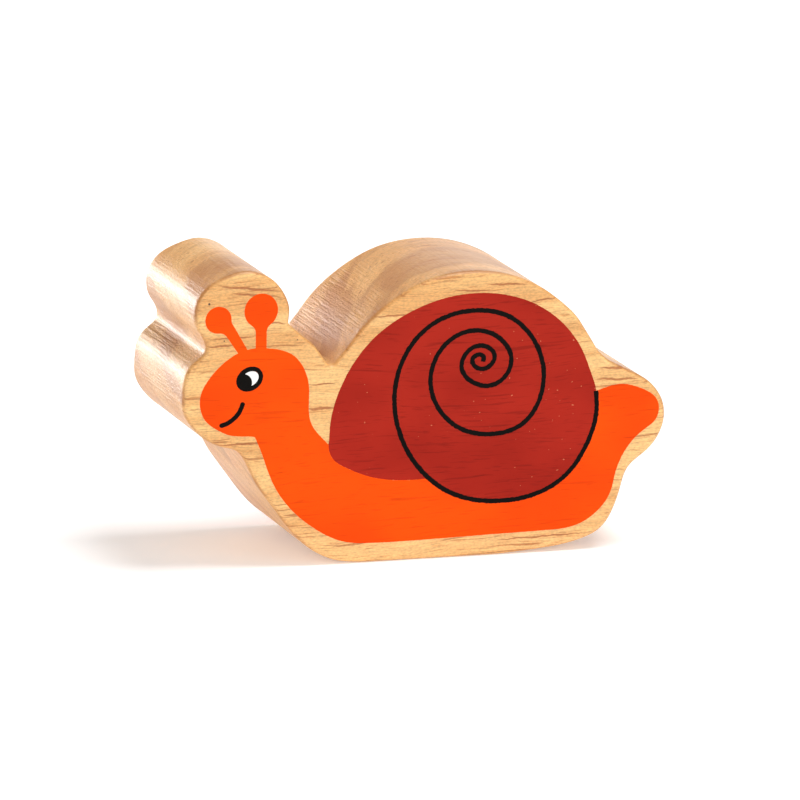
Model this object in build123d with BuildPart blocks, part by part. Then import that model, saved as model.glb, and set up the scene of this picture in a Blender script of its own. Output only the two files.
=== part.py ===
from build123d import *
import math
import os

# A chunky wooden snail that stands on its flat underside, with both faces printed.
# Millimetres, +Z up. The head is towards -X, the tail towards +X, the front face looks along -Y
# and the back face along +Y. The origin is the bottom centre of the block.

THICKNESS = 25.0            # planed board that the block is sawn from
EDGE_ROUND = 0.8            # roundover along both outlines
BASE_FROM, BASE_TO = -9.0, 12.0     # flat stretch of the underside
NOTCH_RADIUS = 0.9          # bottom of the V between head and shell
HEAD_CORNER_RADIUS = 0.6
TAIL_CORNER_RADIUS = 1.6

COLOUR_INK = 0.08           # orange and red, printed on the wood
LINE_INK = 0.06             # black and white, printed on the colours
SPIRAL_WIDTH = 0.75
SPIRAL_PIECE = 4.0          # longest stretch of the spiral's outline in one edge
MOUTH_WIDTH = 0.74
TENTACLE_CORNER_RADIUS = 1.5

HALF = THICKNESS / 2
UNIT_SPEED = [1, 1]         # length of a spline's end tangents

os.makedirs("parts", exist_ok=True)


# ---- The wooden block: outline counter-clockwise from the rear end of the base ----

TAIL_CORNER = (28.3, 32.1)      # where the tail leaves the shell
NOTCH = (-15.8, 31.2)           # bottom of the V before it is rounded
HEAD_CORNER = (-23.1, 38.8)     # where the slope of the V meets the head lobe

foot_and_tail = [
    (BASE_TO, 0), (16, 0.2), (20, 0.5), (24, 1.0), (27, 1.75), (29.5, 2.9), (31.1, 4.6),
    (32.1, 6.6), (32.8, 8.6), (33.3, 10.6), (34.1, 12.7), (35.6, 14.2), (37.3, 15.5),
    (38.7, 17.1), (39.6, 18.9), (40, 20.9), (39.7, 23.1), (38.7, 25.0), (37.2, 26.6),
    (35, 28.0), (32, 29.5), (30, 30.6), TAIL_CORNER,
]
shell_back = [
    TAIL_CORNER, (26.5, 34.9), (24.5, 37.8), (22, 40.1), (19, 42.3), (15, 44.3), (11, 45.4),
    (7, 45.75), (3, 45.45), (-1, 44.4), (-5, 42.4), (-8.5, 39.9), (-11.5, 36.9), (-14, 33.6),
    NOTCH,
]
slope = [NOTCH, (-17.4, 33.4), (-18.6, 35.0), (-20.5, 36.6), HEAD_CORNER]
head_and_throat = [
    HEAD_CORNER, (-22.95, 41), (-23.6, 43.1), (-25, 45.1), (-27, 46.6), (-30.3, 47.4),
    (-33, 46.8), (-36.4, 45.1), (-38, 43), (-38.4, 40.8), (-37.9, 38.6), (-36.7, 36.6),
    (-36.6, 34.9), (-38.3, 33.2), (-39.5, 31.6), (-40, 28.4), (-39.8, 25.7), (-38.4, 23.2),
    (-35.9, 20.9), (-33.4, 19.7), (-30.9, 18.9), (-29.3, 16.8), (-27.8, 13.9), (-25, 10),
    (-22.5, 6.7), (-19.5, 3.5), (-16.8, 1.65), (-14.6, 0.7), (-12, 0.2), (BASE_FROM, 0),
]

with BuildPart() as wood_block:
    with BuildSketch(Plane.XZ.offset(HALF)):
        with BuildLine():
            Line((BASE_FROM, 0), (BASE_TO, 0))
            Spline(foot_and_tail, tangents=[(1, 0), (-0.72, 0.7)], tangent_scalars=UNIT_SPEED)
            Spline(shell_back, tangents=[(-0.5, 0.87), (-0.45, -0.9)], tangent_scalars=UNIT_SPEED)
            Spline(slope, tangents=[(-0.55, 0.83), (-0.8, 0.6)], tangent_scalars=UNIT_SPEED)
            Spline(head_and_throat, tangents=[(0.03, 1), (1, 0)], tangent_scalars=UNIT_SPEED)
        make_face()
    extrude(amount=-THICKNESS)
    uprights = wood_block.edges().filter_by(Axis.Y)
    for (x, z), radius in (
        (TAIL_CORNER, TAIL_CORNER_RADIUS),
        (NOTCH, NOTCH_RADIUS),
        (HEAD_CORNER, HEAD_CORNER_RADIUS),
    ):
        fillet(uprights.sort_by_distance((x, 0, z))[0], radius)
    fillet(wood_block.faces().filter_by(Axis.Y).edges(), EDGE_ROUND)
wood_block.part.label = "wood_block"
export_step(wood_block.part, "parts/wood_block.step")


# ---- Artwork, drawn flat: x along the snail, y up from its base ----

SPIRAL_LEAVES = (0.7, 13.05)    # where the spiral becomes the border between red and orange
SPIRAL_END = (28.1, 25.65)      # top of the spiral, at the root of the tail
SHELL_FRONT = (-16.05, 19.3)    # where the back of the neck meets the shell
SPIRAL_HEADING = (0.74, -0.67)  # direction of the line where it becomes the border

spiral_inside = [
    (9.0, 31.3), (9.05, 32.05), (8.3, 32.45), (7.2, 31.7), (8.8, 30.15), (10.9, 32.0),
    (8.2, 33.9), (5.45, 30.9), (10.0, 27.4), (12.7, 28.7), (13.7, 31.0), (12.1, 34.5), (7.3, 36.35),
    (3.0, 34.7), (0.4, 28.5), (2.3, 23.6), (6.0, 20.6), (10.9, 19.6), (16.1, 21.1), (19.2, 27.6),
    (17.5, 34.1), (12.7, 38.5), (7.2, 39.55), (0.7, 37.9), (-3.9, 33.0), (-5.45, 25.6),
    (-3.4, 18.3), SPIRAL_LEAVES,
]
spiral_border = [
    SPIRAL_LEAVES, (5.2, 10.15), (12.4, 8.75), (18.7, 9.6), (23.4, 12.2), (26.8, 17.0),
    (28.3, 23.0), SPIRAL_END,
]
shell_rim = [
    SPIRAL_END, (27.3, 28.2), (25.7, 32.0), (22.9, 36.0), (18.7, 39.4), (13.7, 41.5), (7.2, 42.3),
    (1.7, 41.6), (-3.3, 39.8), (-8.3, 36.7), (-12.3, 32.2), (-14.8, 27.2), (-15.9, 22.4),
    SHELL_FRONT,
]
shell_foot = [
    SHELL_FRONT, (-15.4, 17.2), (-13.0, 15.45), (-9.3, 13.9), (-5.3, 13.1), (-2.3, 12.95),
    SPIRAL_LEAVES,
]
head_back = [
    SHELL_FRONT, (-17.6, 20.9), (-19.1, 23.1), (-19.5, 25.6), (-19.55, 28.6), (-20.3, 31.3),
    (-22.2, 33.8), (-26.3, 35.15), (-29.8, 35.1), (-33.3, 33.4), (-35.7, 31.0), (-37.15, 28.3),
    (-37.15, 26.0), (-36.4, 24.3), (-34.8, 22.9), (-32.0, 21.6), (-28.9, 21.3), (-28.1, 21.05),
]
neck_and_belly = [
    (-28.1, 21.05), (-27.3, 19.3), (-25.9, 15.7), (-24.3, 12.4), (-21.3, 8.7), (-17.3, 5.6),
    (-13.3, 3.7), (-8.3, 3.15), (6, 3.3), (20.7, 3.55), (25.7, 4.15), (29.0, 6.1), (31.2, 9.2),
    (31.9, 12.2), (33.3, 15.6), (36.2, 18.8), (38.5, 20.8), (38.6, 23.4), (35.7, 25.7),
    (31.9, 26.55), (29.6, 26.1), SPIRAL_END,
]

with BuildLine() as spiral:
    Spline(spiral_inside, tangents=[(0.1, 1), SPIRAL_HEADING], tangent_scalars=UNIT_SPEED)
    border = Spline(
        spiral_border, tangents=[SPIRAL_HEADING, (-0.05, 1)], tangent_scalars=UNIT_SPEED
    )

with BuildSketch() as shell_art:
    with BuildLine():
        add(border)
        Spline(shell_rim, tangents=[(-0.1, 1), (-0.1, -1)], tangent_scalars=UNIT_SPEED)
        Spline(shell_foot, tangents=[(0, -1), (1, 0.05)], tangent_scalars=UNIT_SPEED)
    make_face()


def tentacle(knob, knob_radius, stalk_top, top_width, root, root_width):
    """A round knob on a stalk that runs from inside it down to the head, with soft corners."""
    side = (Vector(*root) - Vector(*stalk_top)).normalized().rotate(Axis.Z, 90)
    with BuildSketch() as shape:
        with Locations(knob):
            Circle(knob_radius)
        with BuildLine():
            Polyline(
                Vector(*stalk_top) + side * top_width / 2, Vector(*root) + side * root_width / 2,
                Vector(*root) - side * root_width / 2, Vector(*stalk_top) - side * top_width / 2,
                close=True,
            )
        make_face()
        beside_knob = shape.vertices().sort_by_distance(root)[2:4]
        fillet(beside_knob, TENTACLE_CORNER_RADIUS)
    return shape.sketch


rear_tentacle = tentacle(
    knob=(-27.75, 41.15), knob_radius=2.72,
    stalk_top=(-27.75, 41.15), top_width=1.8, root=(-27.55, 34.3), root_width=1.75,
)
front_tentacle = tentacle(
    knob=(-34.65, 40.0), knob_radius=2.12,
    stalk_top=(-33.95, 40.0), top_width=2.0, root=(-30.1, 34.2), root_width=1.45,
)


with BuildSketch() as body_art:
    with BuildLine():
        Spline(head_back, tangents=[(-0.65, 0.76), (0.75, -0.66)], tangent_scalars=UNIT_SPEED)
        Spline(neck_and_belly, tangents=[(0.4, -0.92), (-0.95, -0.3)], tangent_scalars=UNIT_SPEED)
        Polyline(SPIRAL_END, (20, 24), (-10, 18), SHELL_FRONT)
    make_face()
    add(shell_art.sketch, mode=Mode.SUBTRACT)
    add(rear_tentacle)
    add(front_tentacle)

with BuildSketch() as ribbon:
    trace(spiral.line, SPIRAL_WIDTH)
ribbon_pieces = []
for edge in ribbon.sketch.edges():
    count = math.ceil(edge.length / SPIRAL_PIECE)
    ribbon_pieces += [edge.trim(i / count, (i + 1) / count) for i in range(count)]
spiral_art = Face(Wire(ribbon_pieces))

EYE = (-29.3, 30.45)
EYE_TILT = 28
EYE_OUTSIDE = (2.24, 1.89)      # half axes of the black eye
EYE_INSIDE = (1.52, 1.13)       # half axes of its opening, which the pupil fills in part
PUPIL = (-30.4, 29.8)
PUPIL_RADIUS = 1.5
with BuildSketch() as eye_hole:
    with Locations(EYE):
        Ellipse(*EYE_INSIDE, rotation=EYE_TILT)
    with Locations(PUPIL):
        Circle(PUPIL_RADIUS, mode=Mode.SUBTRACT)
with BuildSketch() as eye_art:
    with Locations(EYE):
        Ellipse(*EYE_OUTSIDE, rotation=EYE_TILT)
    add(eye_hole.sketch, mode=Mode.SUBTRACT)

with BuildSketch() as mouth_art:
    SlotArc(ThreePointArc((-30.35, 26.5), (-31.35, 24.6), (-33.65, 23.3)), MOUTH_WIDTH)


# ---- Ink films: each drawing is pressed on both faces ----

films = {
    "body_paint": (body_art.sketch, 0, COLOUR_INK),
    "shell_paint": (shell_art.sketch, 0, COLOUR_INK),
    "spiral_line": (spiral_art, COLOUR_INK, LINE_INK),
    "eye_black": (eye_art.sketch, COLOUR_INK, LINE_INK),
    "eye_white": (eye_hole.sketch, COLOUR_INK, LINE_INK),
    "mouth_line": (mouth_art.sketch, COLOUR_INK, LINE_INK),
}
for name, (art, under, film) in films.items():
    for side, start in (("front", HALF + under), ("back", -HALF - under - film)):
        ink = extrude(Plane.XZ.offset(start) * art, amount=film, clean=False)
        ink.label = f"{name}_{side}"
        export_step(ink, f"parts/{ink.label}.step")
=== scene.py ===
"""Looks for the printed wooden snail: fine wood and ink meshes over the CAD frame, in metres."""
import math

import bpy
from mathutils import Matrix, Vector, noise
from mathutils.geometry import tessellate_polygon


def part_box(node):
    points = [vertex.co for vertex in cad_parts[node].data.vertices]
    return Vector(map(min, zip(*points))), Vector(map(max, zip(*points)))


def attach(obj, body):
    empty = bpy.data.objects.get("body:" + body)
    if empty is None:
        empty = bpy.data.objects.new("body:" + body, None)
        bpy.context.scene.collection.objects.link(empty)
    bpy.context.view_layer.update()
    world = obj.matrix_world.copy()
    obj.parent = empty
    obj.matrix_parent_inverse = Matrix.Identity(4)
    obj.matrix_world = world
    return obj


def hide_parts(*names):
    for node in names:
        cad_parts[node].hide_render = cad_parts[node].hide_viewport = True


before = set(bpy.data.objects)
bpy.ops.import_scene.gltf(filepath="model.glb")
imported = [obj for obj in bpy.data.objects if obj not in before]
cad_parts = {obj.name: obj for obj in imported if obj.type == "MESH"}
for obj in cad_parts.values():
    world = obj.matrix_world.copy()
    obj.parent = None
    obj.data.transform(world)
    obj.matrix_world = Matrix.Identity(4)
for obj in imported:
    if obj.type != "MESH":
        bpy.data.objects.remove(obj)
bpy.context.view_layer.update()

MM = 0.001
FACE = 12.5 * MM                # half the thickness of the board
EDGE_ROUND = 0.8 * MM           # roundover along both outlines
CORNER = math.radians(24)       # a sharper turn in an outline stays a corner
STRAIGHT = 4                    # a side this many times as long as its neighbour is straight


# ---- Camera ----

AIM = Vector((-4.53, -12.5, 25.85)) * MM    # the point of the front face in the middle of the view
DISTANCE = 1240 * MM
AZIMUTH = math.radians(20.35)
ELEVATION = math.radians(13.81)
ROLL = math.radians(2.0)
LENS = 360

forward = Vector((
    math.sin(AZIMUTH) * math.cos(ELEVATION),
    math.cos(AZIMUTH) * math.cos(ELEVATION),
    -math.sin(ELEVATION),
))
level = forward.cross(Vector((0, 0, 1))).normalized()
upright = level.cross(forward)
right = level * math.cos(ROLL) + upright * math.sin(ROLL)
up = upright * math.cos(ROLL) - level * math.sin(ROLL)

camera_data = bpy.data.cameras.new("camera")
camera_data.lens = LENS
camera_data.sensor_width = 36
camera_data.clip_start = 0.05
camera_data.clip_end = 20
camera = bpy.data.objects.new("camera", camera_data)
bpy.context.scene.collection.objects.link(camera)
turn = Matrix((right, up, -forward)).transposed().to_4x4()
camera.matrix_world = Matrix.Translation(AIM - forward * DISTANCE) @ turn
bpy.context.scene.camera = camera


# ---- Outlines, read from the CAD meshes and made smooth ----

def loops_at(node, y):
    """The closed outlines of a CAD node in the plane at that y, as lists of (x, z) in order."""
    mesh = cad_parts[node].data
    spots = [
        (round(v.co.x, 8), round(v.co.z, 8)) if abs(v.co.y - y) < 1e-6 else None
        for v in mesh.vertices
    ]
    uses = {}
    for edge in mesh.edges:
        a, b = (spots[i] for i in edge.vertices)
        if a and b and a != b:
            uses.setdefault(frozenset((a, b)), 0)
    for face in mesh.polygons:
        corners = [spots[i] for i in face.vertices]
        if all(corners):
            for a, b in zip(corners, corners[1:] + corners[:1]):
                if a != b:
                    uses[frozenset((a, b))] += 1
    links = {}
    for pair, count in uses.items():
        if count < 2:
            a, b = pair
            links.setdefault(a, []).append(b)
            links.setdefault(b, []).append(a)
    loops = []
    while links:
        start = max(links)
        loop = [start]
        while True:
            after = [p for p in links.pop(loop[-1]) if p in links]
            if not after:
                break
            loop.append(after[0])
        loops.append([Vector(p) for p in loop])
    return sorted(loops, key=lambda l: -abs(signed_area(l)))


def signed_area(loop):
    return sum(a.cross(b) for a, b in zip(loop, loop[1:] + loop[:1])) / 2


def smooth_loop(loop, step, counter_clockwise=True):
    """The outline with a point about every step, on a smooth line through the CAD's points."""
    if (signed_area(loop) > 0) != counter_clockwise:
        loop = loop[::-1]
    count = len(loop)
    speeds = []
    for i, point in enumerate(loop):
        before = point - loop[i - 1]
        after = loop[(i + 1) % count] - point
        into = before.normalized()
        out = after.normalized()
        if into.angle(out) < CORNER:
            if after.length > STRAIGHT * before.length:
                into = out
            elif before.length > STRAIGHT * after.length:
                out = into
            else:
                mean = into * after.length + out * before.length
                into = out = mean / (before.length + after.length)
        speeds.append((into, out))
    points = []
    for i, a in enumerate(loop):
        b = loop[(i + 1) % count]
        length = (b - a).length
        leaving = speeds[i][1] * length
        arriving = speeds[(i + 1) % count][0] * length
        pieces = max(1, round(length / step))
        for k in range(pieces):
            t = k / pieces
            s = 1 - t
            points.append(
                a * (s * s * (1 + 2 * t)) + b * (t * t * (3 - 2 * t))
                + leaving * (s * s * t) - arriving * (t * t * s)
            )
    return points


def inward_normals(loop):
    normals = []
    for i in range(len(loop)):
        along = (loop[(i + 1) % len(loop)] - loop[i - 1]).normalized()
        normals.append(Vector((-along.y, along.x)))
    return normals


def lengths_along(loop):
    total = 0
    lengths = []
    for i, point in enumerate(loop):
        total += (point - loop[i - 1]).length if i else 0
        lengths.append(total)
    return lengths


def new_mesh(name, points, faces, smooth):
    mesh = bpy.data.meshes.new(name)
    mesh.from_pydata(points, [], faces)
    mesh.polygons.foreach_set("use_smooth", smooth)
    mesh.update()
    piece = bpy.data.objects.new(name, mesh)
    bpy.context.scene.collection.objects.link(piece)
    return piece


# ---- The wooden block ----

WOOD_STEP = 0.3 * MM            # between points along the outline
WALL_RINGS = 52
ROUND_RINGS = 7
CAP_BORDER = 0.15 * MM          # flat ring round each face, which keeps its shading flat
SANDING = 0.035 * MM            # depth of the long dips left by hand sanding
SAWING = 0.014 * MM             # depth of the ripples across the walls
DIP_SIZE = (4.5, 14)            # of the dips: mm along the outline, and across the board
RIPPLE_SIZE = (1.1, 16)
PATCH_SIZE = (22, 20)           # of the patches where the ripples are deeper
JOIN = 3 * MM                   # the relief fades out this near the outline's first point
FADE_RINGS = 3                  # and over this many rings beside each roundover
EDGE_WEAR = 0.14                # how much the roundover's radius varies, as a share of it
WEAR_SIZE = 7                   # of a worn place: mm along the outline


def relief_noise(length, y, size, seed):
    return noise.noise(Vector((length / MM / size[0], y / MM / size[1], seed)))


def sanded(length, y):
    """How far the wall lies inside the true outline, there."""
    dips = relief_noise(length, y, DIP_SIZE, 3)
    ripples = relief_noise(length, y, RIPPLE_SIZE, 9)
    patch = relief_noise(length, y, PATCH_SIZE, 5)
    return SANDING * (0.5 + 0.5 * dips) + SAWING * (0.5 + ripples) * max(0, 0.6 + patch)


def make_block():
    """The board with its rounded edges, as rings of points from the front face to the back."""
    loop = smooth_loop(loops_at("wood_block", -FACE + EDGE_ROUND)[0], WOOD_STEP)
    normals = inward_normals(loop)
    lengths = lengths_along(loop)
    perimeter = lengths[-1] + (loop[0] - loop[-1]).length
    columns = []
    for i, point in enumerate(loop):
        length = lengths[i]
        join = min(1, min(length, perimeter - length) / JOIN)
        wear = 1 + EDGE_WEAR * noise.noise(Vector((length / MM / WEAR_SIZE, 1, 1))) * join
        radius = EDGE_ROUND * wear
        column = [(radius + CAP_BORDER, -FACE)]
        for k in range(ROUND_RINGS):
            angle = math.pi / 2 * k / ROUND_RINGS
            inset = radius * (1 - math.sin(angle))
            column.append((inset, -FACE + radius * (1 - math.cos(angle))))
        for k in range(WALL_RINGS + 1):
            y = (FACE - radius) * (2 * k / WALL_RINGS - 1)
            fade = min(1, min(k, WALL_RINGS - k) / FADE_RINGS)
            column.append((sanded(length, y) * fade * join, y))
        for k in range(ROUND_RINGS - 1, -1, -1):
            angle = math.pi / 2 * k / ROUND_RINGS
            inset = radius * (1 - math.sin(angle))
            column.append((inset, FACE - radius * (1 - math.cos(angle))))
        column.append((radius + CAP_BORDER, FACE))
        columns.append([
            (point.x + normals[i].x * inset, y, point.y + normals[i].y * inset)
            for inset, y in column
        ])
    rows = len(columns[0])
    count = len(columns)
    points = [p for column in columns for p in column]
    faces = []
    for i in range(count):
        j = (i + 1) % count
        for k in range(rows - 1):
            faces.append((i * rows + k, i * rows + k + 1, j * rows + k + 1, j * rows + k))
    smooth = [True] * len(faces)
    for k, flip in ((0, False), (rows - 1, True)):
        edge = [i * rows + k for i in range(count)]
        outline = [Vector(points[i]) for i in edge]
        for a, b, c in tessellate_polygon([outline]):
            tri = (edge[a], edge[b], edge[c])
            across = (outline[b] - outline[a]).cross(outline[c] - outline[a])
            wanted = across.y < 0 if not flip else across.y > 0
            faces.append(tri if wanted else tri[::-1])
            smooth.append(False)
    return new_mesh("wood_block_sanded", points, faces, smooth)


block = make_block()


# ---- Ink: thin printed films with slightly uneven edges ----

INK_STEP = 0.16 * MM
INK_EDGE = 0.025 * MM           # width of the soft edge of a film
SUNK = 0.01 * MM                # how far a film's underside lies in what it is printed on
COLOUR_TOP = FACE + 0.03 * MM
LINE_TOP = FACE + 0.055 * MM
EDGE_WAVES = ((0.9, 0.6), (3.2, 1.0))   # in a ragged edge: waves per mm, and their strength


def make_film(node, side, bottom, top, unevenness, seed):
    """A film between two heights above the middle of the board, on the front (-1) or back (+1)."""
    plane = max(abs(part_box(node)[0].y), abs(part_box(node)[1].y)) * side
    profile = ((0, bottom), (0, (bottom + top) / 2), (INK_EDGE, top))
    rows = len(profile)
    points = []
    faces = []
    caps = []
    for number, loop in enumerate(loops_at(node, plane)):
        loop = smooth_loop(loop, INK_STEP, number == 0)
        normals = inward_normals(loop)
        first = len(points)
        for point, normal in zip(loop, normals):
            spot = Vector((point.x / MM, point.y / MM, seed))
            wave = sum(strength * noise.noise(spot * rate) for rate, strength in EDGE_WAVES)
            for inset, height in profile:
                at = point + normal * (inset + wave * unevenness)
                points.append((at.x, height * side, at.y))
        count = len(loop)
        for i in range(count):
            j = (i + 1) % count
            for k in range(rows - 1):
                a, b = first + rows * i + k, first + rows * j + k
                faces.append((a, a + 1, b + 1, b) if side < 0 else (a, b, b + 1, a + 1))
        caps.append([first + rows * i for i in range(count)])
    for level, outside in ((0, -side), (rows - 1, side)):
        flat = [[Vector(points[i + level]) for i in cap] for cap in caps]
        index = [i + level for cap in caps for i in cap]
        for a, b, c in tessellate_polygon(flat):
            tri = (index[a], index[b], index[c])
            pa, pb, pc = (Vector(points[i]) for i in tri)
            across = (pb - pa).cross(pc - pa)
            faces.append(tri if across.y * outside > 0 else tri[::-1])
    return new_mesh(node + "_print", points, faces, [False] * len(faces))


# ---- Materials ----

def colour(red, green, blue):
    """An sRGB colour from 0 to 255, as the linear colour with alpha that shaders take."""
    linear = [c / 255 / 12.92 if c <= 10 else ((c / 255 + 0.055) / 1.055) ** 2.4
              for c in (red, green, blue)]
    return (*linear, 1)


RING_TILT = math.radians(-27)   # of the growth rings, about the block's long axis
SEED_SHIFT = (3.7, 1.9, 5.3)    # how far one seed moves a noise pattern from the next


class Shader:
    """A material whose patterns are worked out from the place in millimetres."""

    def __init__(self, name):
        self.material = bpy.data.materials.new(name)
        self.material.use_nodes = True
        self.tree = self.material.node_tree
        self.tree.nodes.clear()
        place = self.node("ShaderNodeTexCoord").outputs["Object"]
        self.place = self.vector("SCALE", place, Scale=1 / MM)

    def node(self, kind, *values, operation=None, **named):
        made = self.tree.nodes.new(kind)
        if operation:
            made.operation = operation
        for key, value in list(enumerate(values)) + list(named.items()):
            if isinstance(value, bpy.types.NodeSocket):
                self.tree.links.new(value, made.inputs[key])
            elif value is not None:
                made.inputs[key].default_value = value
        return made

    def vector(self, operation, *values, **named):
        made = self.node("ShaderNodeVectorMath", *values, operation=operation, **named)
        return made.outputs["Vector"]

    def math(self, operation, *values):
        return self.node("ShaderNodeMath", *values, operation=operation).outputs[0]

    def noise(self, place, scale, detail=2, seed=0, kind="Fac"):
        """Soft noise with that many cells per millimetre along each axis."""
        moved = self.node("ShaderNodeMapping", place)
        moved.inputs["Scale"].default_value = scale
        moved.inputs["Location"].default_value = [seed * shift for shift in SEED_SHIFT]
        made = self.node("ShaderNodeTexNoise", moved.outputs[0], Scale=1.0, Detail=float(detail))
        return made.outputs[kind]

    def step(self, value, start, end, low=0, high=1):
        made = self.node("ShaderNodeMapRange", value, start, end, low, high)
        made.interpolation_type = "SMOOTHSTEP"
        return made.outputs[0]

    def mix(self, amount, first, second, blend="MIX"):
        made = self.tree.nodes.new("ShaderNodeMix")
        made.data_type = "RGBA"
        made.blend_type = blend
        for socket, value in zip((made.inputs[0], made.inputs[6], made.inputs[7]),
                                 (amount, first, second)):
            if isinstance(value, bpy.types.NodeSocket):
                self.tree.links.new(value, socket)
            else:
                socket.default_value = value
        return made.outputs[2]

    def tint(self, base, towards, mask, strength):
        """The base moved towards another colour where the mask is 1, by that strength."""
        return self.mix(self.math("MULTIPLY", mask, strength), base, towards)

    def grain_place(self):
        """The place turned and bent as the growth rings are: rings are stacked along its z."""
        turned = self.node("ShaderNodeVectorRotate", self.place, Angle=RING_TILT)
        turned.rotation_type = "X_AXIS"
        bend = self.noise(self.place, (0.022, 0.05, 0.05), detail=1, seed=4, kind="Color")
        shift = self.vector("MULTIPLY_ADD", bend, (0, 5, 5), (0, -2.5, -2.5))
        fine = self.noise(self.place, (0.11, 0.2, 0.2), detail=1, seed=8, kind="Color")
        ripple = self.vector("MULTIPLY_ADD", fine, (0, 0.7, 0.7), (0, -0.35, -0.35))
        return self.vector("ADD", self.vector("ADD", turned.outputs[0], shift), ripple)

    def finish(self, base, roughness, height, depth, **constants):
        bump = self.node("ShaderNodeBump", Height=height, Distance=depth, Strength=1.0)
        surface = self.node(
            "ShaderNodeBsdfPrincipled", **{"Base Color": base, "Roughness": roughness},
            Normal=bump.outputs[0],
        )
        for key, value in constants.items():
            surface.inputs[key].default_value = value
        out = self.node("ShaderNodeOutputMaterial")
        self.tree.links.new(surface.outputs[0], out.inputs[0])
        return self.material


def vessels(shader, grain):
    """Short dark dashes along the grain, where the wood's vessels are cut open."""
    dashes = shader.noise(grain, (0.26, 3.6, 4.4), detail=1, seed=11)
    return shader.step(dashes, 0.60, 0.70)


def streaks(shader, grain):
    """Longer thin brown lines, a few millimetres apart."""
    return shader.step(shader.noise(grain, (0.075, 0.9, 2.2), detail=2, seed=2), 0.62, 0.70)


FRONT = -FACE / MM              # y of the front face, in millimetres
LONG_STREAKS = (                # on the front face, in mm: x, z, half length, half width, slope
    (-29.8, 44.7, 4.6, 0.20, -0.13),
    (-28.6, 43.6, 3.8, 0.16, -0.10),
    (-32.5, 37.0, 3.4, 0.13, 0.02),
    (-25.3, 39.1, 1.5, 0.12, -0.05),
    (-33.9, 35.9, 2.6, 0.12, 0.04),
    (-17.4, 25.2, 2.4, 0.20, 0.0),
    (-17.2, 29.1, 1.9, 0.12, 0.03),
    (-31.2, 20.2, 3.4, 0.14, 0.02),
    (31.4, 27.4, 3.4, 0.16, -0.03),
    (31.2, 29.1, 2.6, 0.14, -0.06),
    (12.4, 43.5, 3.2, 0.13, -0.04),
    (18.6, 40.7, 2.4, 0.12, 0.08),
    (7.0, 42.7, 3.2, 0.12, -0.05),
    (-6.2, 39.3, 3.0, 0.13, 0.06),
    (20.0, 2.6, 7.5, 0.12, 0.03),
    (-21.0, 8.4, 2.2, 0.12, 0.0),
)
SPECKS = (                      # on the front face, in millimetres: x, z, radius
    (-36.2, 42.6, 0.24),
    (-33.6, 36.65, 0.15),
    (-21.7, 36.3, 0.13),
    (26.0, 35.5, 0.17),
    (-38.8, 24.3, 0.14),
)
STREAK_DIP = 0.5                # how steeply the long streaks run down into the wood
SOFT_LENGTH = 1.1               # a streak fades out past its ends and sides
SOFT_WIDTH = 1.25


def long_streak(shader, wobble, x, z, half_length, half_width, slope):
    """1 inside one long dark line of the grain at the front face, and 0 outside."""
    axes = shader.node("ShaderNodeSeparateXYZ", shader.place).outputs
    along = shader.math("SUBTRACT", axes[0], x)
    level = shader.math("MULTIPLY_ADD", along, -slope, shader.math("SUBTRACT", axes[2], z))
    depth = shader.math("MULTIPLY_ADD", axes[1], -STREAK_DIP, FRONT * STREAK_DIP)
    across = shader.math("ADD", shader.math("ADD", level, depth), wobble)
    u = shader.math("DIVIDE", along, half_length * SOFT_LENGTH)
    v = shader.math("DIVIDE", across, half_width * SOFT_WIDTH)
    far = shader.math("MULTIPLY_ADD", u, u, shader.math("MULTIPLY", v, v))
    front = shader.step(axes[1], FRONT + 2.0, FRONT + 0.5)
    return shader.math("MULTIPLY", shader.step(far, 1.4, 0.3), front)


def speck(shader, x, z, radius):
    """1 inside one small dark dot on the front face, and 0 outside."""
    away = shader.node("ShaderNodeVectorMath", shader.place, (x, FRONT, z),
                       operation="DISTANCE").outputs["Value"]
    return shader.step(away, radius, radius * 0.5)


EARLY_WOOD = colour(238, 188, 120)
LATE_WOOD = colour(221, 163, 95)
STREAK_BROWN = colour(168, 98, 38)
VESSEL_BROWN = colour(182, 108, 44)
MARK_BROWN = colour(164, 92, 34)
SPECK_BROWN = colour(70, 40, 22)
END_GRAIN = colour(190, 128, 78)
WALL_WOOD = colour(212, 142, 70)
BAND_BROWN = colour(172, 108, 52)
RING_BROWN = colour(176, 112, 54)
SAW_HEIGHT = 9.0                # bump height of the saw lines across the walls
GRIT_HEIGHT = 7.0               # bump height of the finer grit on the walls


def grain_colour(s, grain, dashes, fibre):
    """The wood's colour as it is on the flat faces, with its streaks, marks and mottling."""
    rings = s.step(s.noise(grain, (0.012, 0.09, 0.34), detail=3, seed=1), 0.42, 0.64)
    base = s.mix(rings, EARLY_WOOD, LATE_WOOD)
    base = s.tint(base, STREAK_BROWN, streaks(s, grain), 0.75)
    base = s.tint(base, VESSEL_BROWN, dashes, 0.55)
    wobble = s.noise(s.place, (0.5, 0.5, 0.5), detail=2, seed=14)
    wobble = s.math("MULTIPLY_ADD", wobble, 0.7, -0.35)
    for mark in LONG_STREAKS:
        base = s.tint(base, MARK_BROWN, long_streak(s, wobble, *mark), 0.85)
    for spot in SPECKS:
        base = s.mix(speck(s, *spot), base, SPECK_BROWN)
    mottle = s.noise(s.place, (1.9, 3.0, 3.8), detail=3, seed=6)
    tone = s.math("MULTIPLY", fibre, s.step(mottle, 0.3, 0.7, 0.84, 1.1))
    grey = s.node("ShaderNodeCombineXYZ", tone, tone, tone).outputs[0]
    return s.mix(1.0, base, grey, "MULTIPLY")


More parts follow.
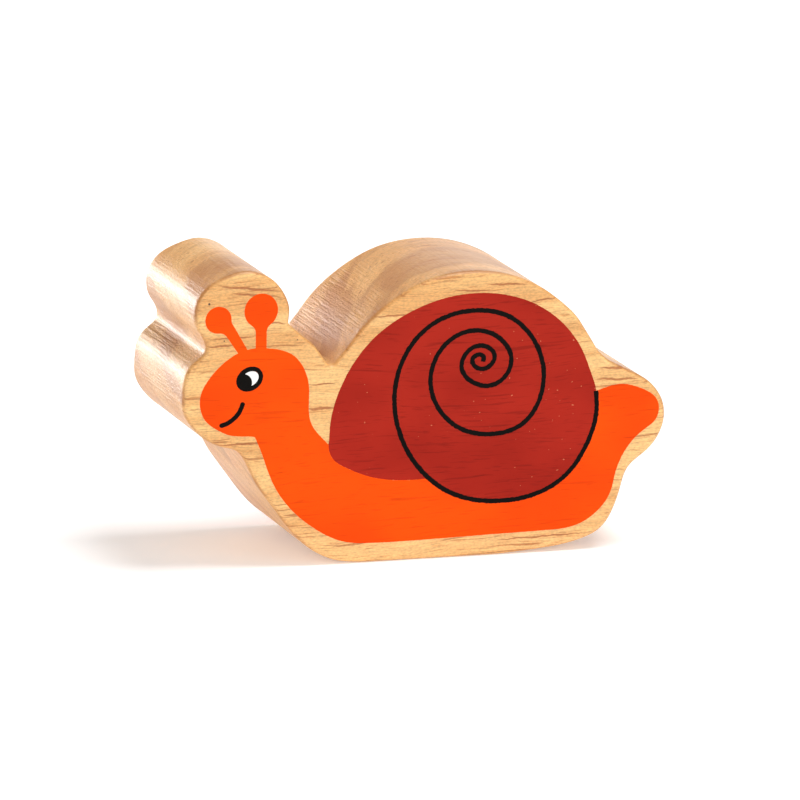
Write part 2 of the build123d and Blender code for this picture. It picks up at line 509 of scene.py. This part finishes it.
def wall_colour(s, grain, base, wall, end):
    """The colour with what shows on the walls: darker end grain, growth bands and rings."""
    base = s.tint(base, END_GRAIN, end, 0.3)
    base = s.tint(base, WALL_WOOD, wall, 0.2)
    bands = s.step(s.noise(grain, (0.02, 0.06, 0.16), detail=2, seed=15), 0.5, 0.62)
    base = s.tint(base, BAND_BROWN, s.math("MULTIPLY", bands, wall), 0.6)
    late = s.step(s.noise(grain, (0.03, 0.05, 0.95), detail=2, seed=16), 0.5, 0.66)
    return s.tint(base, RING_BROWN, s.math("MULTIPLY", late, wall), 0.34)


def wood_height(s, dashes, fibre, wall):
    """The bump: open grain everywhere, and saw lines and grit on the walls."""
    saw = s.noise(s.place, (2.3, 0.1, 2.3), detail=2, seed=7)
    grit = s.noise(s.place, (2.9, 2.3, 2.9), detail=2, seed=9)
    patch = s.noise(s.place, (0.09, 0.07, 0.09), detail=1, seed=12)
    patch = s.step(patch, 0.35, 0.65, 0.5, 1.6)
    ripples = s.math("MULTIPLY_ADD", s.math("MULTIPLY", saw, patch), SAW_HEIGHT,
                     s.math("MULTIPLY", grit, GRIT_HEIGHT))
    open_grain = s.math("MULTIPLY_ADD", dashes, -0.35, s.math("MULTIPLY", fibre, 0.8))
    return s.math("MULTIPLY_ADD", ripples, wall, open_grain)


def wood_material():
    s = Shader("rubberwood")
    grain = s.grain_place()
    dashes = vessels(s, grain)
    fibre = s.step(s.noise(grain, (0.2, 6.0, 6.5), detail=2, seed=3), 0.3, 0.7, 0.86, 1.08)
    facing = s.node("ShaderNodeSeparateXYZ", s.node("ShaderNodeNewGeometry").outputs["Normal"])
    face = s.step(s.math("ABSOLUTE", facing.outputs[1]), 0.55, 0.95)
    wall = s.math("SUBTRACT", 1.0, face)
    end = s.step(s.math("ABSOLUTE", facing.outputs[0]), 0.25, 0.95)
    base = wall_colour(s, grain, grain_colour(s, grain, dashes, fibre), wall, end)
    roughness = s.math("MULTIPLY_ADD", dashes, 0.15, 0.48)
    return s.finish(base, roughness, wood_height(s, dashes, fibre, wall), 0.02 * MM, **{
        "Coat Weight": 0.55, "Coat Roughness": 0.4, "Specular IOR Level": 0.3,
    })


PINHOLE = colour(226, 150, 110)     # the wood that shows through a pinhole in the ink


def ink_material(name, ink, deep, grain_show, pinholes=0.0):
    """Screen ink over the grain: two near tones, faint dashes of grain and a few pinholes."""
    s = Shader(name)
    grain = s.grain_place()
    cloud = s.step(s.noise(s.place, (0.05, 0.05, 0.08), detail=2, seed=5), 0.3, 0.7)
    base = s.mix(cloud, ink, deep)
    shade = (*(c * 0.55 for c in deep[:3]), 1)
    dashes = vessels(s, grain)
    base = s.tint(base, shade, dashes, grain_show)
    base = s.tint(base, shade, streaks(s, grain), grain_show * 1.2)
    if pinholes:
        holes = s.step(s.noise(s.place, (2.4, 2.4, 2.4), detail=0, seed=13), 0.85, 0.885)
        base = s.tint(base, PINHOLE, holes, pinholes)
    skin = s.noise(s.place, (3.5, 3.5, 3.5), detail=2, seed=10)
    height = s.math("MULTIPLY_ADD", dashes, -0.35, s.math("MULTIPLY", skin, 0.5))
    roughness = s.math("MULTIPLY_ADD", cloud, 0.06, 0.4)
    return s.finish(base, roughness, height, 0.012 * MM, **{"Specular IOR Level": 0.07})


wood = wood_material()
inks = {
    "orange_ink": ink_material("orange_ink", colour(243, 79, 0), colour(236, 69, 0), 0.3),
    "red_ink": ink_material("red_ink", colour(168, 38, 24), colour(150, 30, 18), 0.4, 0.45),
    "black_ink": ink_material("black_ink", colour(10, 6, 3), colour(6, 4, 2), 0.1),
    "white_ink": ink_material("white_ink", colour(243, 242, 240), colour(236, 235, 232), 0.02),
}


def finish_piece(piece, material, node):
    piece.data.materials.append(material)
    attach(piece, "root")
    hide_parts(node)


finish_piece(block, wood, "wood_block")
for seed, (name, slot, is_line, unevenness) in enumerate((
    ("body_paint", "orange_ink", False, 0.03 * MM),
    ("shell_paint", "red_ink", False, 0.03 * MM),
    ("spiral_line", "black_ink", True, 0.08 * MM),
    ("eye_black", "black_ink", True, 0.03 * MM),
    ("eye_white", "white_ink", True, 0.0),
    ("mouth_line", "black_ink", True, 0.04 * MM),
)):
    for side, sign in (("front", -1), ("back", 1)):
        node = f"{name}_{side}"
        under, top = (COLOUR_TOP, LINE_TOP) if is_line else (FACE, COLOUR_TOP)
        film = make_film(node, sign, under - SUNK, top, unevenness, seed * 10 + sign)
        finish_piece(film, inks[slot], node)


# ---- Studio ----

FLOOR_HALF = 3.0                # metres, from the middle to each side
FLOOR_TONE = 0.92
FLOOR_GLOW = 0.24               # a little light of its own keeps the floor white to its edges
SKY_LIGHT = 0.35


def flat_material(name, tone):
    s = Shader(name)
    paper = s.step(s.noise(s.place, (0.02, 0.02, 0.02), detail=2, seed=1), 0.2, 0.8)
    near = tone * 0.99
    base = s.mix(paper, (tone, tone, tone, 1), (near, near, near, 1))
    return s.finish(base, 0.9, s.noise(s.place, (1, 1, 1), detail=1, seed=2), 0.002 * MM, **{
        "Emission Color": (1, 1, 1, 1), "Emission Strength": FLOOR_GLOW, "Specular IOR Level": 0.1,
    })


def make_light(name, place, target, width, height, watts, spread=180):
    """A rectangle of light at one place, turned towards another, with its spread in degrees."""
    data = bpy.data.lights.new(name, "AREA")
    data.shape = "RECTANGLE"
    data.size = width
    data.size_y = height
    data.energy = watts
    data.spread = math.radians(spread)
    lamp = bpy.data.objects.new(name, data)
    bpy.context.scene.collection.objects.link(lamp)
    place = Vector(place)
    lamp.matrix_world = (
        Matrix.Translation(place)
        @ (Vector(target) - place).to_track_quat("-Z", "Y").to_matrix().to_4x4()
    )


floor = new_mesh(
    "floor",
    [(-FLOOR_HALF, -FLOOR_HALF, 0), (FLOOR_HALF, -FLOOR_HALF, 0),
     (FLOOR_HALF, FLOOR_HALF, 0), (-FLOOR_HALF, FLOOR_HALF, 0)],
    [(0, 1, 2, 3)], [False],
)
floor.data.materials.append(flat_material("pale_floor", FLOOR_TONE))

make_light("key", (-0.55, -1.1, 0.45), (0, 0, 0.02), 0.7, 0.6, 4.4)
make_light("fill", (0.75, -0.95, 0.35), (0, 0, 0.02), 0.8, 0.5, 3.6)
make_light("top", (0.32, -0.12, 1.1), (0, 0, 0.03), 0.45, 0.45, 9.2)
make_light("back_left", (-0.42, 0.8, 0.05), (0, 0, 0.03), 0.9, 0.1, 5.5)
make_light("sweep", (-0.24, 0.36, 0.5), (-0.24, 0.36, 0), 0.36, 0.36, 2.0, spread=30)
make_light("back_right", (0.4, 0.85, 0.2), (0, 0, 0.04), 0.5, 0.2, 0.8)

world = bpy.data.worlds.new("studio")
world.use_nodes = True
world.node_tree.nodes["Background"].inputs[0].default_value = (1, 1, 1, 1)
world.node_tree.nodes["Background"].inputs[1].default_value = SKY_LIGHT
bpy.context.scene.world = world
bpy.context.scene.view_settings.view_transform = "Standard"
